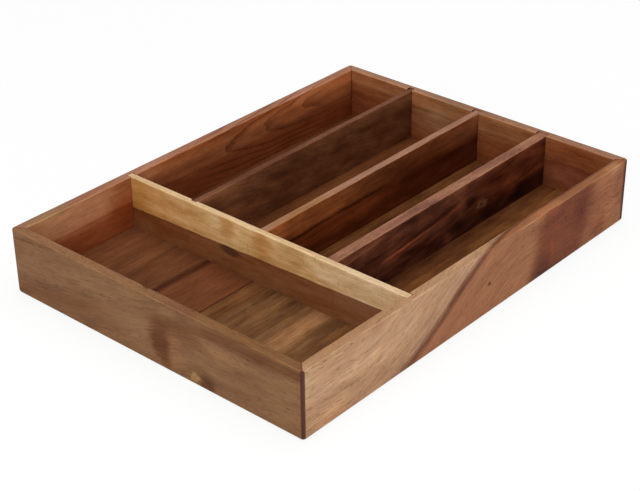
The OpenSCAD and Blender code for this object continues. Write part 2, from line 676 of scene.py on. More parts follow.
    def add_tint_patch(self, tint_patch: TintPatch) -> None:
        """Tint a soft-edged patch.

        Args:
            tint_patch: The patch.
        """
        sheet = self.sheet
        turn = math.radians(tint_patch.lean)
        du, dv = self.along - tint_patch.at[0], self.across - tint_patch.at[1]
        major = (du * math.cos(turn) + dv * math.sin(turn)) / tint_patch.reach[0]
        minor = (dv * math.cos(turn) - du * math.sin(turn)) / tint_patch.reach[1]
        ragged = self.wander(self.TINT_PATCH_EDGES, tint_patch.at[0]) * (2 * tint_patch.ragged)
        distance = sheet.math("SQRT", major * major + minor * minor) + ragged
        share = sheet.step(distance, 1.0 + tint_patch.soft, 1.0 - tint_patch.soft)
        if tint_patch.wraps < 1.0:
            share = share - share * self.on_edge * (1.0 - tint_patch.wraps)
        if tint_patch.side is not Facing.BOTH:
            share = share * sheet.step(self.looks_through * tint_patch.side.value, *self.SIDE_FACING)
        self.lay(share, tint_patch.tint)

    def height_over(self, band: Union[Boundary, Vein]) -> Field:
        """Height over a boundary or a vein, whose edges are ragged where fibres run past them."""
        fibres = self.noise(self.flow, self.BAND_EDGES, band.level) - 0.5
        return self.flow_across - band.level + fibres * (self.BAND_RAGGED * band.ragged)

    def add_boundary(self, edge: Boundary) -> None:
        """Tint the wood below a height, and draw the dark line along it.

        Args:
            edge: The boundary.
        """
        sheet = self.sheet
        height = self.height_over(edge)
        self.lay(sheet.step(height, edge.soft, -edge.soft), edge.below)
        strength = self.wander(self.LINE_STRENGTH, edge.level) * self.LINE_CHANGE + self.LINE_MEAN
        line = sheet.step(abs(height), edge.line_width, self.LINE_CORE * edge.line_width)
        self.lay(line * strength, edge.line)

    def add_vein(self, vein: Vein) -> None:
        """Tint a band that follows the grain.

        Args:
            vein: The band.
        """
        band = self.sheet.step(abs(self.height_over(vein)), vein.width, self.VEIN_CORE * vein.width)
        seed = vein.level + vein.width
        strength = self.wander(self.VEIN_STRENGTH, seed) * self.VEIN_CHANGE + self.VEIN_MEAN
        self.lay(band * strength * self.stretch(vein.start, vein.end, vein.fade), vein.tint)

    def add_knot(self, knot: Knot) -> None:
        """Draw a knot: a dark heart in a pale core with a dark rim round it.

        Args:
            knot: The knot.
        """
        sheet = self.sheet
        du, dv = (self.along - knot.at[0]) / knot.oval, self.across - knot.at[1]
        ragged = self.wander(self.KNOT_EDGES, knot.at[0]) * (knot.ragged * knot.radius)
        distance = sheet.math("SQRT", du * du + dv * dv) + ragged
        distance = distance / (self.KNOT_SPREAD * knot.radius)
        rings = sheet.ramp(distance, self.KNOT_PLACES, (knot.rim, knot.core, knot.core, knot.rim))
        self.lay(sheet.step(distance, *self.KNOT_FADE), rings, Blend.MIX)

    def add_flecks(self) -> None:
        """Draw the short upright flecks of rays, in patches."""
        sheet, finish = self.sheet, self.finish
        patch = sheet.step(self.wander(self.FLECK_PATCHES), *self.FLECK_AREA)
        fleck = sheet.step(self.noise(self.raw, self.FLECKS, finish.seed), *self.FLECK_RUN)
        self.lay(fleck * patch * finish.flecks, self.FLECK_TINT)

    def add_fibre(self) -> None:
        """Lighten and darken the wood fibre by fibre."""
        finish = self.finish
        self.fibre = self.noise(self.flow, self.FIBRES, finish.seed)
        greys = ((1.0 - finish.fibre,) * 3, (1.0 + finish.fibre,) * 3)
        self.lay(1.0, self.sheet.ramp(self.fibre, self.FIBRE_PLACES, greys))

    def add_pores(self) -> None:
        """Draw the open pores: short dark dashes along the fibres, dots on end grain."""
        sheet, finish = self.sheet, self.finish
        near = sheet.cells(sheet.stretched(self.flow, self.PORES.lengths, finish.seed + self.PORES.seed))
        dense = sheet.step(self.ring_tone, *self.PORE_RINGS) * (1.0 - self.PORE_LEAST) + self.PORE_LEAST
        self.pore = sheet.step(near, *self.PORE_RUN) * dense
        self.lay(self.pore * finish.pores, finish.palette.deep)

    def add_edges(self) -> None:
        """Tint the long edges with their own tone and painted sheen, pale the arrises with wear and a
        painted highlight, and darken end grain, which drinks the oil.
        """
        sheet, finish = self.sheet, self.finish
        # Long edges: their own tone, with painted sheen on the tops
        self.lay(self.on_edge, finish.edge_tint_and_sheen)
        arris = sheet.step(self.faces_across * self.faces_through, *self.ARRIS_FACING)
        # Rubbed arrises: pale of wear, with a painted highlight
        worn_and_highlit = arris * sheet.step(self.wander(self.WEAR_AND_HIGHLIGHT_PATCHES), *self.WEAR_AND_HIGHLIGHT_AREA)
        self.lay(worn_and_highlit * finish.wear_and_highlight, finish.palette.pale, Blend.SCREEN)
        if self.mitre:
            self.add_glue_line(*self.mitre)
        end = sheet.step(self.faces_along, *self.END_FACING)
        self.lay(end * self.END_SHARE, finish.end_grain, Blend.MIX)

    def add_glue_line(self, half_along: float, half_through: float) -> None:
        """Draw the dark glue line of the mitres, stronger here and weaker there.

        Args:
            half_along: Half the frame's size along the board.
            half_through: Half the frame's size through the board.
        """
        gap = (abs(self.along) - half_along) - (abs(self.through) - half_through)
        strength = self.wander(self.GLUE_STRENGTH) * self.GLUE_CHANGE + self.GLUE_MEAN
        self.lay(self.sheet.step(abs(gap), *self.GLUE_RUN) * strength, self.GLUE_TINT)

    def add_features(self) -> None:
        """Add what lies over clear wood, from the patches, some of which are painted shade or light, to the
        knots.
        """
        finish = self.finish
        for tint_patch in finish.tint_patches:
            self.add_tint_patch(tint_patch)
        for edge in finish.boundaries:
            self.add_boundary(edge)
        for vein in finish.veins:
            self.add_vein(vein)
        if finish.flecks:
            self.add_flecks()
        for knot in finish.knots:
            self.add_knot(knot)

    def relief(self) -> Field:
        """Raise the fibres and the rings a little, and sink the pores.

        Returns:
            The bumped normal.
        """
        raised = self.fibre * self.FIBRE_RELIEF + self.ring_tone * self.RING_RELIEF
        height = raised - self.pore * self.PORE_RELIEF
        bump = self.sheet.node("ShaderNodeBump")
        strength, depth = self.RELIEF_STRENGTH, self.RELIEF_DEPTH
        return self.sheet.result(bump, Strength=strength, Distance=depth, Height=height)

    def build(self) -> bpy.types.Material:
        """Wire the colour, gloss and relief into the material.

        Returns:
            The finished material.
        """
        sheet = self.sheet
        self.add_figure()
        self.add_features()
        self.add_fibre()
        self.add_pores()
        self.add_edges()
        dull = self.pore * self.PORE_DULLS + (self.fibre - 0.5) * self.FIBRE_DULLS
        shader = sheet.node("ShaderNodeBsdfPrincipled")
        sheet.feed(shader.inputs["Base Color"], self.colour)
        sheet.feed(shader.inputs["Specular IOR Level"], self.SHEEN)
        sheet.feed(shader.inputs["Roughness"], dull + self.finish.roughness)
        sheet.feed(shader.inputs["Normal"], self.relief())
        out = sheet.node("ShaderNodeOutputMaterial")
        sheet.feed(out.inputs[0], Field(sheet, shader.outputs[0]))
        return sheet.material


class NodeRecipe(NodeSheet):
    """Geometry node tree with named inputs, run once on a mesh to give a plain mesh."""

    def __init__(self, name: str, inputs: dict[str, str]) -> None:
        """Start a tree that takes a geometry, a material and other inputs, and gives a geometry back.

        Args:
            name: Name of the tree.
            inputs: Socket types of its other inputs, by name.
        """
        self.tree = bpy.data.node_groups.new(name, "GeometryNodeTree")
        self.tree.is_modifier = True
        self.keys: dict[str, str] = {}
        sockets = {"Geometry": "NodeSocketGeometry", **inputs, "Material": "NodeSocketMaterial"}
        for title, kind in sockets.items():
            socket = self.tree.interface.new_socket(title, in_out="INPUT", socket_type=kind)
            self.keys[title] = socket.identifier
        self.tree.interface.new_socket("Geometry", in_out="OUTPUT", socket_type="NodeSocketGeometry")
        self.start = self.node("NodeGroupInput")
        self.end = self.node("NodeGroupOutput")

    def wire(self, *links: tuple[bpy.types.NodeSocket, bpy.types.NodeSocket]) -> None:
        """Wire outputs to inputs."""
        for source, target in links:
            self.tree.links.new(source, target)

    def close(self, geometry: bpy.types.NodeSocket) -> None:
        """End the tree with real meshes that carry the Material input.

        Args:
            geometry: The geometry so far.
        """
        real = self.node("GeometryNodeRealizeInstances")
        dress = self.node("GeometryNodeSetMaterial")
        self.wire(
            (geometry, real.inputs["Geometry"]),
            (real.outputs["Geometry"], dress.inputs["Geometry"]),
            (self.start.outputs["Material"], dress.inputs["Material"]),
            (dress.outputs["Geometry"], self.end.inputs["Geometry"]),
        )

    def run(self, mesh: bpy.types.Mesh, **values: object) -> bpy.types.Mesh:
        """Run the tree on a mesh.

        Args:
            mesh: The mesh that goes in, which is used up.
            values: The tree's inputs, by name.

        Returns:
            The plain mesh that comes out.
        """
        holder = bpy.data.objects.new(self.tree.name, mesh)
        bpy.context.scene.collection.objects.link(holder)
        modifier = holder.modifiers.new(self.tree.name, "NODES")
        modifier.node_group = self.tree
        for name, value in values.items():
            modifier[self.keys[name]] = value
        depsgraph = bpy.context.evaluated_depsgraph_get()
        made = bpy.data.meshes.new_from_object(holder.evaluated_get(depsgraph))
        holder.modifiers.remove(modifier)
        bpy.data.objects.remove(holder)
        bpy.data.meshes.remove(mesh)
        return made


class SlotRecipe(NodeRecipe):
    """Cuts a square slot out of a board."""

    def __init__(self) -> None:
        """Build the tree: a block, moved into place and taken away from the board."""
        super().__init__("square_slot", {"Middle": "NodeSocketVector", "Size": "NodeSocketVector"})
        block = self.node("GeometryNodeMeshCube")
        place = self.node("GeometryNodeTransform")
        cut = self.node("GeometryNodeMeshBoolean", operation="DIFFERENCE", solver="EXACT")
        given = self.start.outputs
        self.wire(
            (given["Size"], block.inputs["Size"]),
            (block.outputs["Mesh"], place.inputs["Geometry"]),
            (given["Middle"], place.inputs["Translation"]),
            (given["Geometry"], cut.inputs["Mesh 1"]),
            (place.outputs["Geometry"], cut.inputs["Mesh 2"]),
        )
        self.close(cut.outputs["Mesh"])


class RunRecipe(NodeRecipe):
    """Runs a board's section along a straight line, with a slight unevenness from hand sanding."""

    SANDING_SCALE = 45.0

    def __init__(self) -> None:
        """Build the tree: section to profile, swept along a line and closed at both ends."""
        inputs = {
            "Start": "NodeSocketVector",
            "End": "NodeSocketVector",
            "Stations": "NodeSocketInt",
            "Unevenness": "NodeSocketFloat",
            "Seed": "NodeSocketFloat",
        }
        super().__init__("board_run", inputs)
        given = self.start.outputs
        profile = self.node("GeometryNodeMeshToCurve")
        line = self.node("GeometryNodeCurvePrimitiveLine")
        path = self.node("GeometryNodeResampleCurve")
        upright = self.node("GeometryNodeSetCurveNormal", mode="Z_UP")
        sweep = self.node("GeometryNodeCurveToMesh")
        sweep.inputs["Fill Caps"].default_value = True
        self.wire(
            (given["Geometry"], profile.inputs["Mesh"]),
            (given["Start"], line.inputs["Start"]),
            (given["End"], line.inputs["End"]),
            (line.outputs["Curve"], path.inputs["Curve"]),
            (given["Stations"], path.inputs["Count"]),
            (path.outputs["Curve"], upright.inputs["Curve"]),
            (upright.outputs["Curve"], sweep.inputs["Curve"]),
            (profile.outputs["Curve"], sweep.inputs["Profile Curve"]),
        )
        self.close(self.roughen(sweep.outputs["Mesh"]))

    def roughen(self, geometry: bpy.types.NodeSocket) -> bpy.types.NodeSocket:
        """Push the surface in and out a little, by noise that follows the board.

        Args:
            geometry: The board.

        Returns:
            The uneven board.
        """
        given = self.start.outputs
        wander = self.node("ShaderNodeTexNoise", noise_dimensions="4D")
        wander.inputs["Scale"].default_value = self.SANDING_SCALE
        centred = self.node("ShaderNodeMath", operation="SUBTRACT")
        centred.inputs[1].default_value = 0.5
        amount = self.node("ShaderNodeMath", operation="MULTIPLY")
        push = self.node("ShaderNodeVectorMath", operation="SCALE")
        move = self.node("GeometryNodeSetPosition")
        self.wire(
            (self.node("GeometryNodeInputPosition").outputs[0], wander.inputs["Vector"]),
            (given["Seed"], wander.inputs["W"]),
            (wander.outputs[0], centred.inputs[0]),
            (centred.outputs[0], amount.inputs[0]),
            (given["Unevenness"], amount.inputs[1]),
            (self.node("GeometryNodeInputNormal").outputs[0], push.inputs[0]),
            (amount.outputs[0], push.inputs["Scale"]),
            (geometry, move.inputs["Geometry"]),
            (push.outputs[0], move.inputs["Offset"]),
        )
        return move.outputs["Geometry"]


def arc(centre: Point, radius: float, start: float, end: float, steps: int) -> list[Point]:
    """Points along a round arris.

    Args:
        centre: Centre of the round.
        radius: Its radius.
        start: Angle of the first point, in degrees.
        end: Angle of the last point, in degrees.
        steps: Number of straight pieces.

    Returns:
        The points from the first to the last.
    """
    turns = (math.radians(start + (end - start) * i / steps) for i in range(steps + 1))
    return [(centre[0] + radius * math.cos(t), centre[1] + radius * math.sin(t)) for t in turns]


def node_box(node: str) -> Box:
    """Lowest and highest corner of a CAD node, in millimetres."""
    low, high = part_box(node)
    return low / MM, high / MM


def weld(work: bmesh.types.BMesh, mesh: bpy.types.Mesh) -> None:
    """Merge doubled points, turn the faces outwards and write the result.

    Args:
        work: The shape, which is used up.
        mesh: The mesh that it is written to.
    """
    bmesh.ops.remove_doubles(work, verts=work.verts, dist=WELD_GAP)
    bmesh.ops.recalc_face_normals(work, faces=work.faces)
    work.to_mesh(mesh)
    work.free()


def finish_piece(name: str, mesh: bpy.types.Mesh, node: str, slot: Slot) -> None:
    """Turn a mesh into a piece that stands for a CAD node.

    Args:
        name: Name of the piece.
        mesh: Its mesh, in place and dressed.
        node: The CAD node that it stands for.
        slot: The record's material slot, which is not used.
    """
    mesh.name = name
    mesh.shade_smooth()
    mesh.set_sharp_from_angle(angle=SHARP_ANGLE)
    piece = bpy.data.objects.new(name, mesh)
    bpy.context.scene.collection.objects.link(piece)
    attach(piece, BODY)
    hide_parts(node)
    LOG.info("%s stands for %s with %d faces", name, node, len(mesh.polygons))


@dataclass
class Joinery:
    """Slots where one board stands in another: housings, and the shoulders above tongues."""

    fit: float = 0.25
    over: float = 1.5
    stop: float = 6.0
    recipe: SlotRecipe = field(default_factory=SlotRecipe)

    def housing(self, node: str) -> Box:
        """Make room for a board, open at the top.

        Args:
            node: The board's node.

        Returns:
            The slot's corners.
        """
        low, high = node_box(node)
        room = Vector((self.fit, self.fit, self.over))
        return low - room, high + room

    def stopped_housing(self, node: str, holder: str) -> Box:
        """Make room for a board's tongue in another board, stopped below its top.

        Args:
            node: The node of the board with the tongue.
            holder: The node of the other board.

        Returns:
            The slot's corners.
        """
        low, high = self.housing(node)
        high.z = node_box(holder)[1].z - self.stop
        return low, high

    def shoulder(self, node: str, holder: str) -> Box:
        """Find the waste above the tongue at a board's front, before the holder's rear face.

        Args:
            node: The node of the board with the tongue.
            holder: The node of the board that holds it.

        Returns:
            The waste's corners.
        """
        low, high = self.housing(node)
        edge = node_box(holder)[1]
        bottom = edge.z - self.stop - self.fit
        front = Vector((low.x - self.over, low.y - self.over, bottom))
        return front, Vector((high.x + self.over, edge.y, high.z))

    def cut(self, mesh: bpy.types.Mesh, slots: list[Box], material: bpy.types.Material) -> bpy.types.Mesh:
        """Cut slots out of a board.

        Args:
            mesh: The board's mesh, which is used up.
            slots: The slots' lowest and highest corners.
            material: The board's material.

        Returns:
            The cut mesh.
        """
        for low, high in slots:
            middle, size = (low + high) / 2 * MM, (high - low) * MM
            mesh = self.recipe.run(mesh, Middle=middle, Size=size, Material=material)
        return mesh


@dataclass(frozen=True)
class Nick:
    """Small dent in a wall's top arris: place along the wall, depth from the outer face, and size."""

    along: float
    inwards: float
    radius: float
    depth: float


@dataclass
class WallPlan:
    """One wall of the frame: its node, its side of the frame, its looks and its nicks."""

    node: str
    side: Side
    grain: Grain
    finish: WoodFinish
    nicks: tuple[Nick, ...] = ()


@dataclass
class MitredFrame:
    """Four walls with mitred, rounded corners, a groove for the base and housings for the dividers."""

    MITRE_ANGLE: ClassVar[float] = 45.0
    CORNER_STEPS: ClassVar[int] = 8
    FOOT_STEPS: ClassVar[int] = 8
    RIM_STEPS: ClassVar[int] = 5
    SWAY_LENGTH: ClassVar[float] = 30.0
    SWAY_ROWS: ClassVar[float] = 7.3
    SWAY_LAYER: ClassVar[float] = 0.5

    plans: tuple[WallPlan, ...]
    corner_r: float = 3.0
    rim_r: float = 1.0
    foot_r: float = 3.0
    groove_d: float = 4.0
    fit: float = 0.2
    hold: float = 0.25
    station_gap: float = 2.0
    uneven: float = 0.18
    base: Box = field(init=False)
    outside: Box = field(init=False)

    def __post_init__(self) -> None:
        """Read the base's height and the frame's outside from the CAD nodes."""
        self.base = node_box("base_stave_1")
        boxes = [node_box(plan.node) for plan in self.plans]
        self.outside = (
            Vector(min(box[0][axis] for box in boxes) for axis in range(3)),
            Vector(max(box[1][axis] for box in boxes) for axis in range(3)),
        )

    def section(self, thick: float, high: float, rim: float) -> list[Point]:
        """Outline of a wall's section, as depth from the outer face and height.

        Args:
            thick: Thickness of the wall.
            high: Height of the wall.
            rim: Radius of the top arrises here.

        Returns:
            The outline's points, with a point beside each arris that keeps the flats flat.
        """
        foot, hold = self.foot_r, self.hold
        groove_low, groove_high = self.base[0].z, self.base[1].z + self.fit
        return [
            *arc((foot, foot), foot, 270, 180, self.FOOT_STEPS),
            (0.0, foot + hold),
            (0.0, high - rim - hold),
            *arc((rim, high - rim), rim, 180, 90, self.RIM_STEPS),
            (rim + hold, high),
            (self.corner_r, high),
            (thick - rim - hold, high),
            *arc((thick - rim, high - rim), rim, 90, 0, self.RIM_STEPS),
            (thick, high - rim - hold),
            (thick, groove_high),
            (thick - self.groove_d, groove_high),
            (thick - self.groove_d, groove_low),
            (thick, groove_low),
            (thick, 0.0),
            (foot + hold, 0.0),
        ]

    def stations(self, length: float) -> list[Point]:
        """Choose the stations along a wall.

        Args:
            length: Length of the wall.

        Returns:
            For each station, the share of the wall's half length and the angle round the corner.
        """
        count = round(length / self.station_gap)
        straight = [(2 * i / count - 1.0, 0.0) for i in range(count + 1)]
        steps = self.CORNER_STEPS
        turns = [self.MITRE_ANGLE * i / steps for i in range(1, steps + 1)]
        return [(-1.0, t) for t in reversed(turns)] + straight + [(1.0, t) for t in turns]

    def place(self, spot: Point, station: Point, length: float) -> Place:
        """Find where a point of the section lies at a station.

        Args:
            spot: The point's depth and height.
            station: The station.
            length: Length of the wall.

        Returns:
            The place along the wall, inwards from its outer face and up.
        """
        depth, height = spot
        share, angle = station
        straight = length / 2 - max(depth, self.corner_r)
        lever = max(self.corner_r - depth, 0.0)
        turn = math.radians(angle)
        along = share * straight + math.copysign(lever * math.sin(turn), share)
        return along, depth + lever * (1 - math.cos(turn)), height

    def dent(self, spot: Place, high: float, nicks: tuple[Nick, ...]) -> Place:
        """Lower a point that lies in a nick.

        Args:
            spot: The point along the wall, inwards and up.
            high: Height of the wall.
            nicks: The wall's nicks.

        Returns:
            The lowered point.
        """
        along, inwards, height = spot
        for nick in nicks:
            away = math.dist((along, inwards, height), (nick.along, nick.inwards, high)) / nick.radius
            height -= nick.depth * max(1 - away * away, 0.0) ** 2
        return along, inwards, height

    def into_place(self, side: Side) -> Matrix:
        """Turn and shift that bring a wall to its side of the frame.

        Args:
            side: The side.

        Returns:
            The matrix, which takes millimetres to metres too.
        """
        low, high = self.outside
        outer = {
            Side.FRONT: (0, low.y, 0),
            Side.RIGHT: (high.x, 0, 0),
            Side.BACK: (0, high.y, 0),
            Side.LEFT: (low.x, 0, 0),
        }[side]
        turn = Matrix.Rotation(math.pi / 2 * side.value, 4, "Z")
        return Matrix.Scale(MM, 4) @ Matrix.Translation(outer) @ turn

    def loft(self, plan: WallPlan) -> bpy.types.Mesh:
        """Loft a wall from mitre to mitre and close its ends.

        Args:
            plan: The wall.

        Returns:
            The wall's mesh, in place.
        """
        own_low, own_high = node_box(plan.node)
        own, whole = own_high - own_low, self.outside[1] - self.outside[0]
        length, thick = (whole.x, own.y) if plan.side.runs_x else (whole.y, own.x)
        high = self.outside[1].z
        into_place = self.into_place(plan.side)
        work = bmesh.new()
        loops = []
        for station in self.stations(length):
            row = plan.side.value * self.SWAY_ROWS
            sway = noise.noise(Vector((station[0] * length / self.SWAY_LENGTH, row, self.SWAY_LAYER)))
            outline = self.section(thick, high, self.rim_r * (1 + self.uneven * sway))
            spots = (self.dent(self.place(p, station, length), high, plan.nicks) for p in outline)
            loops.append([work.verts.new(into_place @ Vector(s)) for s in spots])
        for one, two in zip(loops, loops[1:]):
            for i in range(len(one)):
                work.faces.new((one[i - 1], one[i], two[i], two[i - 1]))
        work.faces.new(loops[0])
        work.faces.new(loops[-1])
        mesh = bpy.data.meshes.new(plan.node)
        weld(work, mesh)
        return mesh

    def build(self, joinery: Joinery, housed: dict[str, list[str]]) -> None:
        """Build and dress the four walls.

        Args:
            joinery: The way slots are cut.
            housed: For a wall's node, the nodes of the boards that stand in its housings.
        """
        half_x, half_y = self.outside[1].x, self.outside[1].y
        for plan in self.plans:
            mitre = (half_x, half_y) if plan.side.runs_x else (half_y, half_x)
            material = WoodShader(plan.node + "_wood", plan.grain, plan.finish, mitre).build()
            mesh = self.loft(plan)
            mesh.materials.append(material)
            slots = [joinery.housing(node) for node in housed.get(plan.node, [])]
            mesh = joinery.cut(mesh, slots, material)
            finish_piece(plan.node + "_board", mesh, plan.node, Slot.WALL)


@dataclass
class BoardPlan:
    """One straight board: its node, its record slot, its grain and its looks."""

    node: str
    slot: Slot
    grain: Grain
    finish: WoodFinish


@dataclass
class StraightBoards:
    """Boards of one section that runs straight from end to end, with eased long arrises."""

    TOP_STEPS: ClassVar[int] = 4
    BOTTOM_STEPS: ClassVar[int] = 3

    plans: tuple[BoardPlan, ...]
    top_r: float
    bottom_r: float
    station_gap: float = 3.0
    hold: float = 0.2
    unevenness: float = 0.05
    runs: RunRecipe = field(default_factory=RunRecipe)

    def section(self, wide: float, high: float) -> bpy.types.Mesh:
        """Outline of a board's section about its middle.

        Args:
            wide: Width of the section.
            high: Height of the section.

        Returns:
            The outline, as a closed line of edges.
        """
        top, bottom, hold = self.top_r, self.bottom_r, self.hold
        right, left = wide / 2, -wide / 2
        up, down = high / 2, -high / 2
        spots = [
            *arc((right - top, up - top), top, 0, 90, self.TOP_STEPS),
            (right - top - hold, up),
            (left + top + hold, up),
            *arc((left + top, up - top), top, 90, 180, self.TOP_STEPS),
            (left, up - top - hold),
            (left, down + bottom + hold),
            *arc((left + bottom, down + bottom), bottom, 180, 270, self.BOTTOM_STEPS),
            (left + bottom + hold, down),
            (right - bottom - hold, down),
            *arc((right - bottom, down + bottom), bottom, 270, 360, self.BOTTOM_STEPS),
            (right, down + bottom + hold),
            (right, up - top - hold),
        ]
        mesh = bpy.data.meshes.new("section")
        edges = [(i, (i + 1) % len(spots)) for i in range(len(spots))]
        mesh.from_pydata([(a * MM, -b * MM, 0.0) for a, b in spots], edges, [])
        return mesh

    def run(self, plan: BoardPlan, material: bpy.types.Material) -> bpy.types.Mesh:
        """Run the section from end to end of a board.

        Args:
            plan: The board.
            material: Its material.

        Returns:
            The board's mesh, in place.
        """
        low, high = node_box(plan.node)
        size, middle = high - low, (low + high) / 2
        along_x = plan.grain is Grain.ALONG_X_UPRIGHT
        reach = Vector((size.x / 2, 0, 0)) if along_x else Vector((0, size.y / 2, 0))
        wide = size.y if along_x else size.x
        mesh = self.runs.run(
            self.section(wide, size.z),
            Start=(middle - reach) * MM,
            End=(middle + reach) * MM,
            Stations=round(2 * reach.length / self.station_gap) + 1,
            Unevenness=self.unevenness * MM,
            Seed=plan.finish.seed,
            Material=material,
        )
        work = bmesh.new()
        work.from_mesh(mesh)
        weld(work, mesh)
        return mesh

    def build(self, joinery: Joinery, slots: dict[str, list[Box]]) -> None:
        """Build and dress the boards.

        Args:
            joinery: The way slots are cut.
            slots: For a board's node, the slots to cut out of it.
        """
        for plan in self.plans:
            material = WoodShader(plan.node + "_wood", plan.grain, plan.finish).build()
            mesh = joinery.cut(self.run(plan, material), slots.get(plan.node, []), material)
            finish_piece(plan.node + "_board", mesh, plan.node, plan.slot)


def stave_finish(number: int, palette: Palette, figure: float, *tint_patches: TintPatch) -> WoodFinish:
    """Choose the looks of one base stave.

    Args:
        number: The stave's number, from 1 at the left.
        palette: Its tones.
        figure: Strength of its figure.
        tint_patches: Its patches, among them the painted shade of the lanes.

    Returns:
        The stave's finish.
    """
    return WoodFinish(
        palette=palette,
        seed=37.0 + 3.0 * number,
        rings=0.2,
        ring_lines=0.08,
        streaks=0.26 * figure,
        drift=0.55 * figure,
        mottle=0.5 * figure,
        fibre=0.42,
        pores=0.35,
        pith=(-50.0, 60.0),
        tint_patches=tint_patches,
    )


